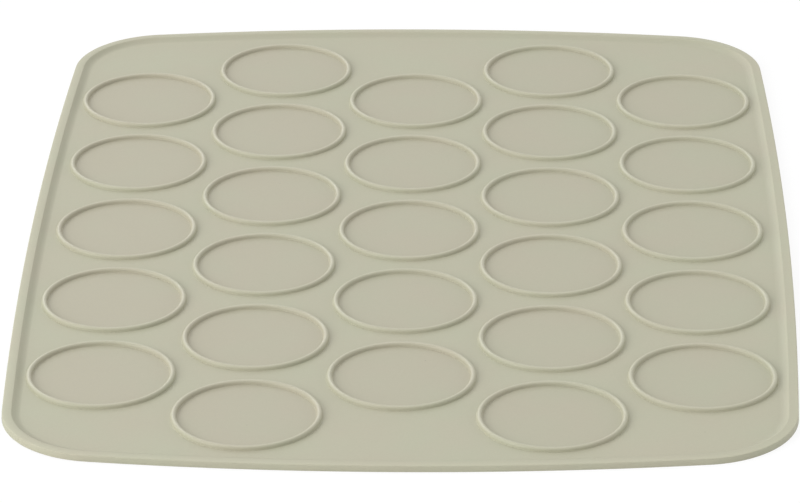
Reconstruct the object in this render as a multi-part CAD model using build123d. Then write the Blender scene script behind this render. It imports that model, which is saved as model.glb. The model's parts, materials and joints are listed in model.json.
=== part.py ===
from build123d import *

import os
from math import atan2, degrees, hypot, sqrt

# A silicone baking mat for piping small round shells.
# It is a thin flexible sheet with bowed sides, rounded corners, a raised rim and 27 raised rings in five
# staggered columns.
# The real mat is one moulding. It is divided here into the sheet under each column of rings, the runs of the
# rim and the rings, which are seated on the sheet's top face. The mat bends between the columns, where no
# ring crosses, so each column with its sheet and rim is one body.
# X runs across the mat, Y runs from its front to its back and Z is up. The origin is on the underside, under
# the middle of the outline. All sizes are in millimetres.

# Rings: the crest line of the ridge, and the ridge's section
ring_crest_diameter = 50.0
ridge_width = 2.0
ridge_height = 1.5
ridge_wall_height = 0.5

# Layout of the rings: five columns across the mat, with one ring more in the long ones
columns = ("left", "mid_left", "centre", "mid_right", "right")
long_columns = ("mid_left", "mid_right")
short_column_count = 5
long_column_count = 6
column_gap = 0.3
row_gap = 8.5

# Sheet
sheet_thickness = 1.1

# Rim, from the outer wall inwards and up from the sheet
rim_rise = 1.3
rim_top_width = 2.9
rim_slope_width = 2.4
rim_outer_round = 0.8
rim_inner_round = 0.5

# Outline: bare sheet between the outermost rings and the rim, and the radii of the bowed edges
side_margin = 4.1
front_margin = 7.45
back_margin = 10.85
side_bow_radius = 3250.0
end_bow_radius = 860.0
corner_radius = 35.7

# How far a cutting block runs past what it cuts
overrun = 10.0

# Worked out from the sizes above
ring_outer_diameter = ring_crest_diameter + ridge_width
column_pitch = ring_outer_diameter + column_gap
row_pitch = ring_outer_diameter + row_gap
rim_width = rim_top_width + rim_slope_width
rings_across = (len(columns) - 1) * column_pitch + ring_outer_diameter
rings_along = (long_column_count - 1) * row_pitch + ring_outer_diameter
mat_width = rings_across + 2 * (side_margin + rim_width)
mat_length = rings_along + front_margin + back_margin + 2 * rim_width
mat_height = sheet_thickness + max(rim_rise, ridge_height)
rings_middle_y = (front_margin - back_margin) / 2


def column_x(column):
    """Middle of a column of rings, across the mat."""
    return (columns.index(column) - (len(columns) - 1) / 2) * column_pitch


def ring_places(column):
    """Centres of a column's rings, from the front of the mat to its back."""
    count = long_column_count if column in long_columns else short_column_count
    first = rings_middle_y - (count - 1) / 2 * row_pitch
    return [(column_x(column), first + row * row_pitch) for row in range(count)]


def corner_of_outline():
    """Centre of the back right corner's arc, and the directions in which it meets the side and the end."""
    side_centre_x = mat_width / 2 - side_bow_radius
    end_centre_y = mat_length / 2 - end_bow_radius
    to_side = side_bow_radius - corner_radius
    to_end = end_bow_radius - corner_radius
    apart = hypot(side_centre_x, end_centre_y)
    along = (to_side**2 - to_end**2 + apart**2) / (2 * apart)
    across = sqrt(to_side**2 - along**2)
    step_x = -side_centre_x / apart
    step_y = end_centre_y / apart
    x = side_centre_x + along * step_x - across * step_y
    y = along * step_y + across * step_x
    meets_side = degrees(atan2(y, x - side_centre_x))
    meets_end = degrees(atan2(y - end_centre_y, x))
    return x, y, meets_side, meets_end


def outline_arcs():
    """The outline's eight arcs, anticlockwise from the right side: name, centre, radius, start and sweep."""
    x, y, side, end = corner_of_outline()
    side_x = mat_width / 2 - side_bow_radius
    end_y = mat_length / 2 - end_bow_radius
    return [
        ("right", (side_x, 0), side_bow_radius, -side, 2 * side),
        ("back_right_corner", (x, y), corner_radius, side, end - side),
        ("back", (0, end_y), end_bow_radius, end, 180 - 2 * end),
        ("back_left_corner", (-x, y), corner_radius, 180 - end, end - side),
        ("left", (-side_x, 0), side_bow_radius, 180 - side, 2 * side),
        ("front_left_corner", (-x, -y), corner_radius, 180 + side, end - side),
        ("front", (0, -end_y), end_bow_radius, 180 + end, 180 - 2 * end),
        ("front_right_corner", (x, -y), corner_radius, 360 - end, end - side),
    ]


def column_block(column):
    """A block over one column's share of the mat, which ends halfway to the next column."""
    low = column_x(column) - column_pitch / 2
    high = column_x(column) + column_pitch / 2
    if column == columns[0]:
        low = -mat_width / 2 - overrun
    if column == columns[-1]:
        high = mat_width / 2 + overrun
    block = Box(high - low, mat_length + 2 * overrun, mat_height + 2 * overrun)
    return Pos((low + high) / 2, 0, 0) * block


def whole_sheet():
    """The flat sheet with the mat's whole outline."""
    edges = [CenterArc(centre, radius, start, sweep) for _, centre, radius, start, sweep in outline_arcs()]
    return extrude(make_face(Wire(edges)), sheet_thickness)


def rim_profile(radius):
    """Section of the rim on an arc of this radius. X is the distance from the arc's centre, Y is height."""
    top = sheet_thickness + rim_rise
    points = [
        (radius, sheet_thickness),
        (radius, top),
        (radius - rim_top_width, top),
        (radius - rim_width, sheet_thickness),
    ]
    section = make_face(Polyline(*points, close=True))
    section = fillet(section.vertices().group_by(Axis.Y)[-1].sort_by(Axis.X)[-1], rim_outer_round)
    return fillet(section.vertices().group_by(Axis.Y)[-1].sort_by(Axis.X)[0], rim_inner_round)


def rim_run(centre, radius, start, sweep):
    """The rim along one arc of the outline."""
    ray = Vector(1, 0, 0).rotate(Axis.Z, start)
    upright = Plane(origin=(*centre, 0), x_dir=ray, z_dir=ray.cross(Vector(0, 0, 1)))
    return revolve(upright * rim_profile(radius), Axis((*centre, 0), (0, 0, 1)), sweep)


def ring():
    """One raised ring round the origin, with a low wall each side and a rounded crest."""
    middle = ring_crest_diameter / 2
    inner = middle - ridge_width / 2
    outer = middle + ridge_width / 2
    inner_wall_top = (inner, 0, ridge_wall_height)
    outer_wall_top = (outer, 0, ridge_wall_height)
    foot = Polyline(inner_wall_top, (inner, 0, 0), (outer, 0, 0), outer_wall_top)
    crest = ThreePointArc(outer_wall_top, (middle, 0, ridge_height), inner_wall_top)
    return revolve(make_face(foot + crest), Axis.Z)


def make_parts():
    """Every piece of the mat by name."""
    parts = {}
    sheet = whole_sheet()
    for column in columns:
        parts[f"sheet_{column}"] = sheet & column_block(column)
    runs = {name: rim_run(*arc) for name, *arc in outline_arcs()}
    for end in ("front", "back"):
        for column in columns[1:-1]:
            parts[f"rim_{end}_{column}"] = runs[end] & column_block(column)
        for column in (columns[0], columns[-1]):
            corner = f"{end}_{column}_corner"
            parts[f"rim_{corner}"] = runs[corner] + (runs[end] & column_block(column))
    for side in (columns[0], columns[-1]):
        parts[f"rim_{side}"] = runs[side]
    one_ring = ring()
    for column in columns:
        for row, (x, y) in enumerate(ring_places(column), start=1):
            parts[f"ring_{column}_{row}"] = Pos(x, y, sheet_thickness) * one_ring
    return parts


os.makedirs("parts", exist_ok=True)
for name, shape in make_parts().items():
    shape.label = name
    export_step(shape, f"parts/{name}.step")
print(f"mat {mat_width:.1f} by {mat_length:.1f} by {mat_height:.1f} mm")
print(f"ring pitch {column_pitch:.2f} across and {row_pitch:.2f} along")
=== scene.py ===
import json
import math

import bmesh
import bpy
import numpy as np
from mathutils import Matrix, Vector
from mathutils.geometry import delaunay_2d_cdt

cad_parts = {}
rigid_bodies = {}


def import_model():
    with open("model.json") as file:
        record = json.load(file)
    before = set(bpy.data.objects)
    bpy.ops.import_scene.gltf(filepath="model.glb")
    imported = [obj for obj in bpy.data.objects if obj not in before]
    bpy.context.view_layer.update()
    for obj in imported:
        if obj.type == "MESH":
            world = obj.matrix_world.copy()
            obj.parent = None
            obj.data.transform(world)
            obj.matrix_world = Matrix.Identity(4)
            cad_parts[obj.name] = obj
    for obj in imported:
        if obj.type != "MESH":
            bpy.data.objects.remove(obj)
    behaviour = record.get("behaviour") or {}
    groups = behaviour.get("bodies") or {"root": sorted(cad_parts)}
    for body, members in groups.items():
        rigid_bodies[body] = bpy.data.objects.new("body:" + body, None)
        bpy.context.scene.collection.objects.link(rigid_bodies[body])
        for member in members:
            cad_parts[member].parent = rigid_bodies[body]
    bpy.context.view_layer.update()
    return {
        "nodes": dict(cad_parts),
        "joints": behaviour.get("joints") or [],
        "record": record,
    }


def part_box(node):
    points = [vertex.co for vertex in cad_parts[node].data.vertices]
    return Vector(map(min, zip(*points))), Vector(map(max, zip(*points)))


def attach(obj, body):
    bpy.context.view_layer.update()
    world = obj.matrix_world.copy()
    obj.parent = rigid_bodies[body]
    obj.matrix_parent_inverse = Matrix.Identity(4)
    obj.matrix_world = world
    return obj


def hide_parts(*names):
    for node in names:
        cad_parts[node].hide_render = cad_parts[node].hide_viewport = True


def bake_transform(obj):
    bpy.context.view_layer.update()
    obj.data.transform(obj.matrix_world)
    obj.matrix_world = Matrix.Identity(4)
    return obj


# A silicone baking mat, dressed as the one continuous moulding that it is.
# The mat is cut only along the middle of each column of rings, so that each stretch between two cuts crosses
# at most one bending line. Lengths are in metres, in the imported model's frame.

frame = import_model()
MM = 0.001

# Outline: the radii of the bowed sides and ends and of the corners
side_bow_radius = 3250 * MM
end_bow_radius = 860 * MM
corner_radius = 35.7 * MM

# Rim section, from the outer wall inwards
rim_draft = 0.15 * MM
rim_top_width = 3.4 * MM
rim_top_fall = 0.06 * MM
rim_slope_width = 1.7 * MM
rim_bottom_round = 0.15 * MM
rim_outer_round = 0.4 * MM
rim_inner_round = 0.4 * MM
rim_foot_round = 4 * MM

# Ring section: a narrow ridge with steep walls and a round crest
ring_crest_radius = 25 * MM
ridge_width = 2.1 * MM
ridge_height = 1.5 * MM
ridge_draft = 0.18 * MM
ridge_foot_round = 0.15 * MM
crest_round_share = 0.95

# How finely the mesh follows the form.
# A flat strip as wide as flat_guard ends each section, so that its rounding doesn't shade the flat area
# beside it. Inner points stay border_clear_share of their spacing away from a border.
flat_guard = 0.12 * MM
corner_spacing = 1.0 * MM
edge_spacing = 2.0 * MM
top_spacing = 2.2 * MM
underside_spacing = 3.0 * MM
well_spacing = 2.4 * MM
half_ring_steps = 80
seam_strip_angle = math.radians(0.25)
arc_step = math.radians(15)
sharp_angle = math.radians(50)
merge_distance = 0.001 * MM
border_clear_share = 0.6

# Silicone: two close tones, soft mottling between them, a fine moulded grain and a few specks.
# The ridges' crests are smoother than the sheet and carry a painted highlight, as does the rim's outer edge.
# The wells carry a painted shade and are a little warmer, most on the left.
# The rim's inner slope is a little darker, a painted shade that is deepest a quarter of the way up.
cool_tone = (0.4415, 0.4405, 0.3265, 1)
warm_tone = (0.458, 0.432, 0.33, 1)
mottle_size = 28 * MM
mottle_noise_shares = (0.3, 0.7)
mottle_contrast_share = 0.75
well_warmth_shares = (0.65, 0.1)
well_painted_shade_share = -0.032
crest_painted_highlight_share = 0.09
slope_painted_shade_share = -0.06
edge_painted_highlight_share = 0.09
crest_polish = 0.2
grain_size = 0.7 * MM
grain_height = 0.03 * MM
grain_shade_share = 0.03
speck_spacing = 85 * MM
speck_radius = 0.28 * MM
dark_speck_share = -0.35
light_speck_share = 0.12
smooth_roughness = 0.5
rough_roughness = 0.6
silicone_ior = 1.41

# Light: round lamps that face the middle of the mat. Each has its name, its azimuth from the mat's right and
# its elevation in degrees, its distance in metres, and the light that it gives at the middle.
lamps = (
    ("key", 212, 30, 3.2, 1.25),
    ("low", 212, 10, 3.2, 0.88),
    ("back", 115, 30, 10, 0.5),
    ("side", 345, 12, 1.2, 0.54),
    ("top", 90, 70, 10, 0.66),
)
lamp_spread = math.radians(30)
sky_strength = 0.47

# Floor: it is pale, and its glow makes it white where it is seen
floor_tone = (0.85, 0.85, 0.85, 1)
floor_glow = 1.04
floor_glow_share = 0.82
floor_half_width = 8

# Camera, fitted to the rings and the outline in the photograph
camera_place = Vector((40.12, -1638.6, 756.4)) * MM
camera_yaw = math.radians(-1.523)
camera_pitch = math.radians(24.998)
camera_roll = math.radians(0.414)
focal_pixels = 4875.6
image_width_pixels = 800
sensor_width_mm = 36.0

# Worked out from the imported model
columns = ("left", "mid_left", "centre", "mid_right", "right")
bending_lines = sorted(joint["pos_m"][0] for joint in frame["joints"])
column_pitch = bending_lines[1] - bending_lines[0]
column_x = {column: (place - len(columns) // 2) * column_pitch for place, column in enumerate(columns)}
sheet_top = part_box("sheet_centre")[1].z
rim_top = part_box("rim_front_centre")[1].z
half_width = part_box("rim_right")[1].x
half_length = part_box("rim_back_centre")[1].y


def ring_middles(column):
    """The y of each ring's centre in a column, from front to back."""
    boxes = [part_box(node) for node in frame["nodes"] if node.startswith(f"ring_{column}_")]
    return sorted((low.y + high.y) / 2 for low, high in boxes)


# Sections

def arc_points(centre, radius, start, end):
    """Points along an arc, both ends included."""
    steps = max(2, math.ceil(abs(end - start) / arc_step))
    angles = [start + (end - start) * step / steps for step in range(steps + 1)]
    return [(centre[0] + radius * math.cos(a), centre[1] + radius * math.sin(a)) for a in angles]


def rounded_path(points, radii):
    """A path of straight runs whose inner corners are rounded by tangent arcs."""
    path = [points[0]]
    for before, corner, after, radius in zip(points, points[1:], points[2:], radii):
        corner = Vector(corner)
        back = (Vector(before) - corner).normalized()
        ahead = (Vector(after) - corner).normalized()
        half_angle = back.angle(ahead) / 2
        centre = corner + (back + ahead).normalized() * radius / math.sin(half_angle)
        first = corner + back * radius / math.tan(half_angle) - centre
        last = corner + ahead * radius / math.tan(half_angle) - centre
        start = math.atan2(first.y, first.x)
        turn = math.remainder(math.atan2(last.y, last.x) - start, math.tau)
        path += arc_points(centre, radius, start, start + turn)
    return path + [points[-1]]


def rim_section():
    """The rim as (distance in from the outer wall, height), from the underside over the top to the sheet.

    Its top falls a little towards the outer wall.
    """
    foot = rim_top_width + rim_slope_width
    slope = math.atan2(rim_top - sheet_top, rim_slope_width)
    foot_end = foot + rim_foot_round * math.tan(slope / 2) + flat_guard
    corners = [
        (rim_bottom_round + flat_guard, 0),
        (0, 0),
        (rim_draft, rim_top - rim_top_fall),
        (rim_top_width, rim_top),
        (foot, sheet_top),
        (foot_end, sheet_top),
    ]
    return rounded_path(corners, [rim_bottom_round, rim_outer_round, rim_inner_round, rim_foot_round])


def ring_section():
    """A ring as (radius, height) from its centre outwards: the flat well, then the ridge."""
    foot = ridge_width / 2
    top = foot - ridge_draft
    wall_slope = math.atan2(ridge_height, ridge_draft)
    crest_round = crest_round_share * top / math.tan(wall_slope / 2)
    foot_end = foot + ridge_foot_round + flat_guard
    right_half = [(top, ridge_height), (foot, 0), (foot_end, 0)]
    left_half = [(-x, z) for x, z in reversed(right_half)]
    rounds = [ridge_foot_round, crest_round, crest_round, ridge_foot_round]
    ridge = rounded_path(left_half + right_half, rounds)
    well_radius = ring_crest_radius - foot_end
    steps = math.ceil(well_radius / well_spacing)
    well = [(well_radius * step / steps, sheet_top) for step in range(steps)]
    return well + [(ring_crest_radius + x, sheet_top + z) for x, z in ridge]


rim_line = rim_section()
ring_line = ring_section()
rim_reach = rim_line[-1][0]
ring_reach = ring_line[-1][0]
quarter = math.pi / 2
right_half_angles = (
    [-quarter, seam_strip_angle - quarter]
    + [math.pi * step / half_ring_steps - quarter for step in range(1, half_ring_steps)]
    + [quarter - seam_strip_angle, quarter]
)
left_half_angles = [angle + math.pi for angle in right_half_angles]


# Outline, as stations. A station is an arc's centre and radius and an angle on it.

def outline_corner():
    """Centre of the back right corner's arc, and the angles at which it meets the side and the end."""
    side_x = half_width - side_bow_radius
    end_y = half_length - end_bow_radius
    to_side = side_bow_radius - corner_radius
    to_end = end_bow_radius - corner_radius
    apart = math.hypot(side_x, end_y)
    along = (to_side**2 - to_end**2 + apart**2) / (2 * apart)
    across = math.sqrt(to_side**2 - along**2)
    x = side_x - (along * side_x + across * end_y) / apart
    y = (along * end_y - across * side_x) / apart
    return x, y, math.atan2(y, x - side_x), math.atan2(y - end_y, x)


def outline_arcs():
    """The outline anticlockwise from the right side.

    Each stretch is its arc, the arc's first and last angle, and the spacing of stations along it.
    """
    x, y, side, end = outline_corner()
    side_x = half_width - side_bow_radius
    end_y = half_length - end_bow_radius
    pi = math.pi
    return [
        ((side_x, 0, side_bow_radius), -side, side, edge_spacing),
        ((x, y, corner_radius), side, end, corner_spacing),
        ((0, end_y, end_bow_radius), end, pi - end, edge_spacing),
        ((-x, y, corner_radius), pi - end, pi - side, corner_spacing),
        ((-side_x, 0, side_bow_radius), pi - side, pi + side, edge_spacing),
        ((-x, -y, corner_radius), pi + side, pi + end, corner_spacing),
        ((0, -end_y, end_bow_radius), pi + end, 2 * pi - end, edge_spacing),
        ((x, -y, corner_radius), 2 * pi - end, 2 * pi - side, corner_spacing),
    ]


outline = outline_arcs()


def inset(station, distance):
    """The point this far in from the outline at a station."""
    (x, y, radius), angle = station
    return x + (radius - distance) * math.cos(angle), y + (radius - distance) * math.sin(angle)


def rim_points(station):
    """The rim's section at a station."""
    return [(*inset(station, distance), height) for distance, height in rim_line]


def seam_place(x, end):
    """Number of the outline's arc, and the angle on it, where the rim's inner foot has this x at one end."""
    for number, ((centre_x, _, radius), start, stop, _) in enumerate(outline):
        across = (x - centre_x) / (radius - rim_reach)
        if abs(across) < 1:
            angle = math.acos(across) if end == "back" else math.tau - math.acos(across)
            if start <= angle <= stop:
                return number, angle


def seam_station(x, end):
    """The station where the rim's inner foot has this x at one end."""
    number, angle = seam_place(x, end)
    return outline[number][0], angle


def outline_run(first, last):
    """Stations anticlockwise from one place on the outline to another."""
    number, angle = first
    run = [(outline[number][0], angle)]
    while True:
        arc, _, stop, spacing = outline[number]
        if number == last[0]:
            stop = last[1]
        steps = max(1, math.ceil((stop - angle) * arc[2] / spacing))
        run += [(arc, angle + (stop - angle) * step / steps) for step in range(1, steps + 1)]
        if number == last[0]:
            return run
        number = (number + 1) % len(outline)
        angle = outline[number][1]


def rim_runs(from_x, to_x):
    """The stretches of rim between two seams, anticlockwise.

    None in place of a seam stands for the mat's own left or right end.
    """
    if from_x is None:
        return [outline_run(seam_place(to_x, "back"), seam_place(to_x, "front"))]
    if to_x is None:
        return [outline_run(seam_place(from_x, "front"), seam_place(from_x, "back"))]
    front = outline_run(seam_place(from_x, "front"), seam_place(to_x, "front"))
    back = outline_run(seam_place(to_x, "back"), seam_place(from_x, "back"))
    return [front, back]


# Seams, along the middle of a column of rings

def flat_steps(start, stop):
    """Places after start, up to and with stop."""
    steps = math.ceil((stop - start) / top_spacing)
    return [start + (stop - start) * step / steps for step in range(1, steps + 1)]


def seam_section(column):
    """The mat's top along a seam as (y, height), from the front rim's foot to the back rim's foot."""
    foot = inset(seam_station(column_x[column], "back"), rim_reach)[1]
    line = [(-foot, sheet_top)]
    for middle in ring_middles(column):
        line += [(y, sheet_top) for y in flat_steps(line[-1][0], middle - ring_reach)]
        line += [(middle - radius, height) for radius, height in ring_line[-2::-1]]
        line += [(middle + radius, height) for radius, height in ring_line[1:]]
    return line + [(y, sheet_top) for y in flat_steps(line[-1][0], foot)]


def seam_edge(column, half_angles):
    """The flat sheet's edge beside a seam, from front to back and round the outside of each half ring."""
    x = column_x[column]
    foot = inset(seam_station(x, "back"), rim_reach)[1]
    edge = [(x, -foot)]
    for middle in ring_middles(column):
        edge += [(x, y) for y in flat_steps(edge[-1][1], middle - ring_reach)]
        edge += [
            (x + ring_reach * math.cos(angle), middle + ring_reach * math.sin(angle))
            for angle in half_angles[1:]
        ]
    return edge + [(x, y) for y in flat_steps(edge[-1][1], foot)]


# Meshes

class Shell:
    """Points and faces of one stretch of the mat, joined where they meet."""

    def __init__(self):
        self.points = []
        self.faces = []

    def add(self, points, faces):
        """New points, and faces whose corners are numbered from the first of them."""
        first = len(self.points)
        self.points += points
        self.faces += [[first + corner for corner in face] for face in faces]

    def grid(self, rows):
        """A surface through rows of points, each row as long as the next."""
        width = len(rows[0])
        corners = [row * width + place for row in range(len(rows) - 1) for place in range(width - 1)]
        faces = [(corner, corner + 1, corner + width + 1, corner + width) for corner in corners]
        self.add([point for row in rows for point in row], faces)

    def flat(self, border, height, spacing):
        """A flat area inside a border, with inner points so that it can bend."""
        points = border + inner_points(border, spacing)
        scaled = [Vector(point) / MM for point in points]
        edges = [(place, (place + 1) % len(border)) for place in range(len(border))]
        made = delaunay_2d_cdt(scaled, edges, [], 1, merge_distance)
        self.add([(x * MM, y * MM, height) for x, y in made[0]], made[2])

    def mesh(self, name):
        """The points and faces as one smooth mesh, with its places marked."""
        mesh = bpy.data.meshes.new(name)
        mesh.from_pydata(self.points, [], self.faces)
        work = bmesh.new()
        work.from_mesh(mesh)
        bmesh.ops.remove_doubles(work, verts=work.verts, dist=merge_distance)
        bmesh.ops.recalc_face_normals(work, faces=work.faces)
        work.to_mesh(mesh)
        work.free()
        mark_places(mesh)
        mesh.shade_smooth()
        mesh.set_sharp_from_angle(angle=sharp_angle)
        return mesh


def from_outline(x, y):
    """How far each of these points lies inside the outline."""
    distance = np.full(len(x), half_width)
    for (centre_x, centre_y, radius), start, stop, _ in outline:
        angle = np.mod(np.arctan2(y - centre_y, x - centre_x) - start, math.tau)
        inside = radius - np.hypot(x - centre_x, y - centre_y)
        distance = np.where(angle <= stop - start, np.minimum(distance, inside), distance)
    return distance


def mark_places(mesh):
    """Stores each point's place at rest, and how much it belongs to each area that the material tints or
    shades.

    The areas are the inside of a ring, a ridge's crest, and the rim's inner slope and outer edge.
    The wells and the slope get painted shade, and the crests and the edge get painted highlights.
    """
    places = np.empty(3 * len(mesh.vertices), np.float32)
    mesh.vertices.foreach_get("co", places)
    mesh.attributes.new("rest_place", "FLOAT_VECTOR", "POINT").data.foreach_set("vector", places)
    x, y, z = places.reshape(-1, 3).T
    inwards = np.full(len(x), -ring_reach)
    for column, middle_x in column_x.items():
        for middle_y in ring_middles(column):
            inwards = np.maximum(inwards, ring_crest_radius - np.hypot(x - middle_x, y - middle_y))
    on_top = z > sheet_top / 2
    in_ring = np.clip(inwards / ridge_width + 1 / 2, 0, 1) * on_top
    # A ridge's crest gets a painted highlight and a smoother finish.
    on_crest = np.clip(1 - np.abs(inwards) / (ridge_width / 2), 0, 1) * on_top
    # The slope's painted shade is none at its foot and its top, and whole a quarter of the way up.
    # The edge's painted highlight falls from the rim's top down the outer wall.
    height = np.sqrt(np.clip((z - sheet_top) / (rim_top - sheet_top), 0, 1))
    on_slope = (1 - (2 * height - 1) ** 2) * (inwards < -ridge_width)
    reach = rim_outer_round + rim_draft
    on_edge = np.clip(1 - (rim_top - z) / (2 * reach), 0, 1) * (from_outline(x, y) < reach)
    for name, shares in (
        ("in_ring", in_ring),
        ("on_crest", on_crest),
        ("on_slope", on_slope),
        ("on_edge", on_edge),
    ):
        mesh.attributes.new(name, "FLOAT", "POINT").data.foreach_set("value", shares.astype(np.float32))


def inner_points(border, spacing):
    """Points of a triangular lattice that lie inside a border and clear of its edge."""
    edge = np.array(border)
    low = edge.min(0)
    high = edge.max(0)
    row_step = spacing * math.sin(math.radians(60))
    rows = np.arange(low[1], high[1], row_step)
    starts = [low[0] + (number % 2) * spacing / 2 for number in range(len(rows))]
    lattice = [(x, y) for start, y in zip(starts, rows) for x in np.arange(start, high[0], spacing)]
    lattice = np.array(lattice)
    ahead = np.roll(edge, -1, axis=0)
    inside = np.zeros(len(lattice), bool)
    for (x0, y0), (x1, y1) in zip(edge, ahead):
        crosses = (y0 > lattice[:, 1]) != (y1 > lattice[:, 1])
        if crosses.any():
            inside ^= crosses & (lattice[:, 0] < x0 + (lattice[:, 1] - y0) * (x1 - x0) / (y1 - y0))
    lattice = lattice[inside]
    nearest = np.min([np.hypot(*(lattice - point).T) for point in edge], axis=0)
    return [tuple(point) for point in lattice[nearest > spacing * border_clear_share]]


def add_half_rings(shell, column, half_angles):
    """The half of each ring of a column that lies on one side of the seam."""
    for middle in ring_middles(column):
        centre = (column_x[column], middle, sheet_top)
        rows = [
            [(centre[0] + r * math.cos(a), centre[1] + r * math.sin(a), z) for r, z in ring_line[1:]]
            for a in half_angles
        ]
        shell.grid(rows)
        first_circle = [row[0] for row in rows]
        fan = [(0, place + 1, place + 2) for place in range(len(first_circle) - 1)]
        shell.add([centre] + first_circle, fan)


def add_seam_wall(shell, column):
    """The cut face under a seam, closed so that each stretch of the mat is a whole solid."""
    x = column_x[column]
    line = seam_section(column)
    shell.grid([[(x, y, z) for y, z in line], [(x, y, 0) for y, _ in line]])
    for station in (seam_station(x, "front"), seam_station(x, "back")):
        section = rim_points(station) + [(*inset(station, rim_reach), 0)]
        shell.add(section, [range(len(section))])


def mat_stretch(name, from_column, to_column):
    """The mat between two seams, or between a seam and the mat's own left or right end."""
    shell = Shell()
    runs = rim_runs(column_x.get(from_column), column_x.get(to_column))
    for run in runs:
        shell.grid([rim_points(station) for station in run])
    edges = []
    seams = []
    if to_column:
        add_half_rings(shell, to_column, left_half_angles)
        add_seam_wall(shell, to_column)
        edges.append(seam_edge(to_column, left_half_angles[::-1])[1:-1])
        seams.append([(column_x[to_column], y) for y, _ in seam_section(to_column)])
    if from_column:
        add_half_rings(shell, from_column, right_half_angles)
        add_seam_wall(shell, from_column)
        edges.append(seam_edge(from_column, right_half_angles)[-2:0:-1])
        seams.append([(column_x[from_column], y) for y, _ in reversed(seam_section(from_column))])
    top = []
    underside = []
    for run, edge, seam in zip(runs, edges, seams):
        top += [inset(station, rim_reach) for station in run] + edge
        underside += [inset(station, rim_line[0][0]) for station in run] + seam
    shell.flat(top, sheet_top, top_spacing)
    shell.flat(underside, 0, underside_spacing)
    piece = bpy.data.objects.new(name, shell.mesh(name))
    bpy.context.scene.collection.objects.link(piece)
    return piece


# Materials

def add_node(tree, kind, inputs, **settings):
    """A shader node. Each input is a value or another node's output."""
    node = tree.nodes.new(f"ShaderNode{kind}")
    for name, value in settings.items():
        setattr(node, name, value)
    for name, value in inputs.items():
        if isinstance(value, bpy.types.NodeSocket):
            tree.links.new(value, node.inputs[name])
        else:
            node.inputs[name].default_value = value
    return node


def map_range(tree, value, low, high, to_low, to_high):
    """A value taken from one range to another, and kept inside it."""
    inputs = {"Value": value, "From Min": low, "From Max": high, "To Min": to_low, "To Max": to_high}
    return add_node(tree, "MapRange", inputs).outputs["Result"]


def maths(tree, operation, *values):
    """The result of one calculation on values or other nodes' outputs."""
    return add_node(tree, "Math", dict(enumerate(values)), operation=operation).outputs["Value"]


def silicone_material():
    """Matt silicone in two close tones, with soft mottling, a fine moulded grain and a few specks."""
    material = bpy.data.materials.new("silicone")
    material.use_nodes = True
    tree = material.node_tree
    place = add_node(tree, "Attribute", {}, attribute_name="rest_place").outputs["Vector"]
    in_ring, on_crest, on_slope, on_edge = (
        add_node(tree, "Attribute", {}, attribute_name=name).outputs["Fac"]
        for name in ("in_ring", "on_crest", "on_slope", "on_edge")
    )
    mottle = add_node(tree, "TexNoise", {"Vector": place, "Scale": 1 / mottle_size}).outputs["Fac"]
    grain = add_node(tree, "TexNoise", {"Vector": place, "Scale": 1 / grain_size}).outputs["Fac"]
    cell = add_node(
        tree, "TexVoronoi", {"Vector": place, "Scale": 1 / speck_spacing}, voronoi_dimensions="2D"
    )

    spot = add_node(tree, "SeparateXYZ", {"Vector": place})
    well_warmth = map_range(tree, spot.outputs["X"], -half_width, half_width, *well_warmth_shares)
    warmth = map_range(tree, mottle, *mottle_noise_shares, 0, mottle_contrast_share)
    warmth = maths(tree, "MULTIPLY_ADD", in_ring, well_warmth, warmth)
    tones = add_node(tree, "ValToRGB", {"Fac": warmth})
    tones.color_ramp.elements[0].color = cool_tone
    tones.color_ramp.elements[1].color = warm_tone

    speck_edge = speck_radius / speck_spacing
    speck = map_range(tree, cell.outputs["Distance"], speck_edge / 2, speck_edge, 1, 0)
    speck_random = add_node(tree, "SeparateColor", {"Color": cell.outputs["Color"]}).outputs["Red"]
    speck_shade = map_range(tree, speck_random, 0, 1, dark_speck_share, light_speck_share)
    speck_shade = maths(tree, "MULTIPLY_ADD", speck, speck_shade, 1)
    grain_shade = map_range(tree, grain, 0, 1, 1 - grain_shade_share, 1 + grain_shade_share)
    shade = maths(tree, "MULTIPLY", speck_shade, grain_shade)
    # Painted shade in the wells and on the rim's inner slope, and painted highlights on the crests and the
    # rim's outer edge.
    for place_share, shade_share in (
        (in_ring, well_painted_shade_share),
        (on_crest, crest_painted_highlight_share),
        (on_slope, slope_painted_shade_share),
        (on_edge, edge_painted_highlight_share),
    ):
        shade = maths(tree, "MULTIPLY", shade, map_range(tree, place_share, 0, 1, 1, 1 + shade_share))
    colour = add_node(tree, "VectorMath", {0: tones.outputs["Color"], "Scale": shade}, operation="SCALE")

    roughness = map_range(tree, mottle, 0, 1, smooth_roughness, rough_roughness)
    roughness = maths(tree, "MULTIPLY_ADD", on_crest, -crest_polish, roughness)
    bump = add_node(tree, "Bump", {"Height": grain, "Distance": grain_height})
    shader = tree.nodes["Principled BSDF"]
    tree.links.new(colour.outputs["Vector"], shader.inputs["Base Color"])
    tree.links.new(roughness, shader.inputs["Roughness"])
    tree.links.new(bump.outputs["Normal"], shader.inputs["Normal"])
    shader.inputs["IOR"].default_value = silicone_ior
    return material


def seen_share(tree, share):
    """This share for camera rays and reflections, and none for the light that falls on the object."""
    path = add_node(tree, "LightPath", {})
    seen = maths(tree, "MAXIMUM", path.outputs["Is Camera Ray"], path.outputs["Is Glossy Ray"])
    return maths(tree, "MULTIPLY", seen, share)


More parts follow.
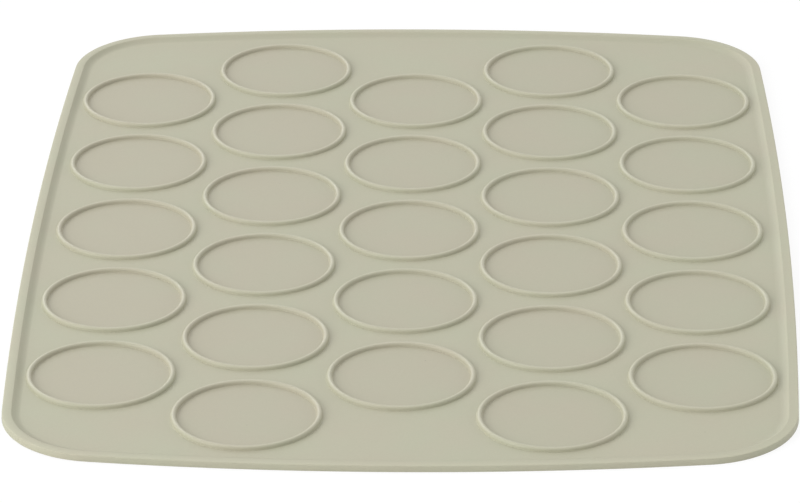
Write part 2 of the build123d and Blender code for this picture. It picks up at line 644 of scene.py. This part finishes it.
def floor_material():
    """A pale matt floor that looks white, with the mat's shadow on it."""
    material = bpy.data.materials.new("floor")
    material.use_nodes = True
    tree = material.node_tree
    shader = tree.nodes["Principled BSDF"]
    shader.inputs["Base Color"].default_value = floor_tone
    shader.inputs["Roughness"].default_value = 1
    shader.inputs["Specular IOR Level"].default_value = 0
    glow = add_node(tree, "Emission", {"Strength": floor_glow})
    mix = add_node(
        tree,
        "MixShader",
        {0: seen_share(tree, floor_glow_share), 1: shader.outputs["BSDF"], 2: glow.outputs["Emission"]},
    )
    tree.links.new(mix.outputs["Shader"], tree.nodes["Material Output"].inputs["Surface"])
    return material


# Mat

def make_mat():
    """Every stretch of the mat; a stretch at the mat's left or right end is carried by its body."""
    silicone = silicone_material()
    joints = {frozenset((joint["parent"], joint["child"])): joint for joint in frame["joints"]}
    bodies = frame["record"]["behaviour"]["bodies"]
    for from_column, to_column in zip((None,) + columns, columns + (None,)):
        ends = [column for column in (from_column, to_column) if column]
        if len(ends) == 2:
            joint = joints[frozenset(ends)]
            piece = mat_stretch(f"mat_{joint['name']}", from_column, to_column)
            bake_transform(piece)
        else:
            piece = mat_stretch(f"mat_{ends[0]}_end", from_column, to_column)
            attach(piece, ends[0])
        piece.data.materials.append(silicone)
        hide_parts(*[node for column in ends for node in bodies[column]])


# Stage, light and camera

def make_floor():
    """The floor that the mat lies on."""
    mesh = bpy.data.meshes.new("floor")
    corners = [(-1, -1), (1, -1), (1, 1), (-1, 1)]
    mesh.from_pydata([(x * floor_half_width, y * floor_half_width, 0) for x, y in corners], [], [range(4)])
    floor = bpy.data.objects.new("floor", mesh)
    floor.data.materials.append(floor_material())
    bpy.context.scene.collection.objects.link(floor)


def make_light():
    """The world, white where it is seen and softer in the light that it gives, and the lamps."""
    world = bpy.data.worlds.new("studio")
    world.use_nodes = True
    tree = world.node_tree
    sky_light = maths(tree, "MULTIPLY_ADD", seen_share(tree, 1), 1 - sky_strength, sky_strength)
    sky = tree.nodes["Background"]
    sky.inputs["Color"].default_value = (1, 1, 1, 1)
    tree.links.new(sky_light, sky.inputs["Strength"])
    bpy.context.scene.world = world
    for name, azimuth, elevation, distance, strength in lamps:
        lamp = bpy.data.objects.new(name, bpy.data.lights.new(name, "AREA"))
        radius = distance * math.tan(lamp_spread / 2)
        lamp.data.shape = "DISK"
        lamp.data.size = 2 * radius
        lamp.data.energy = strength * math.pi * (radius**2 + distance**2)
        around = math.radians(azimuth)
        up = math.radians(elevation)
        towards = Vector((math.cos(around) * math.cos(up), math.sin(around) * math.cos(up), math.sin(up)))
        lamp.location = towards * distance
        lamp.rotation_mode = "QUATERNION"
        lamp.rotation_quaternion = towards.to_track_quat("Z", "Y")
        lamp.visible_camera = False
        bpy.context.scene.collection.objects.link(lamp)


def make_camera():
    """The camera, turned by its yaw, then down by its pitch, then round its own view by its roll."""
    camera = bpy.data.objects.new("camera", bpy.data.cameras.new("camera"))
    camera.data.sensor_width = sensor_width_mm
    camera.data.lens = focal_pixels * sensor_width_mm / image_width_pixels
    forward = Vector(
        (
            math.sin(camera_yaw) * math.cos(camera_pitch),
            math.cos(camera_yaw) * math.cos(camera_pitch),
            -math.sin(camera_pitch),
        )
    )
    level = Vector((math.cos(camera_yaw), -math.sin(camera_yaw), 0))
    down = forward.cross(level)
    image_right = level * math.cos(camera_roll) + down * math.sin(camera_roll)
    image_down = down * math.cos(camera_roll) - level * math.sin(camera_roll)
    turn = Matrix((image_right, -image_down, -forward)).transposed().to_4x4()
    camera.matrix_world = Matrix.Translation(camera_place) @ turn
    bpy.context.scene.collection.objects.link(camera)
    bpy.context.scene.camera = camera


make_camera()
make_mat()
make_floor()
make_light()
bpy.context.scene.view_settings.view_transform = "Standard"
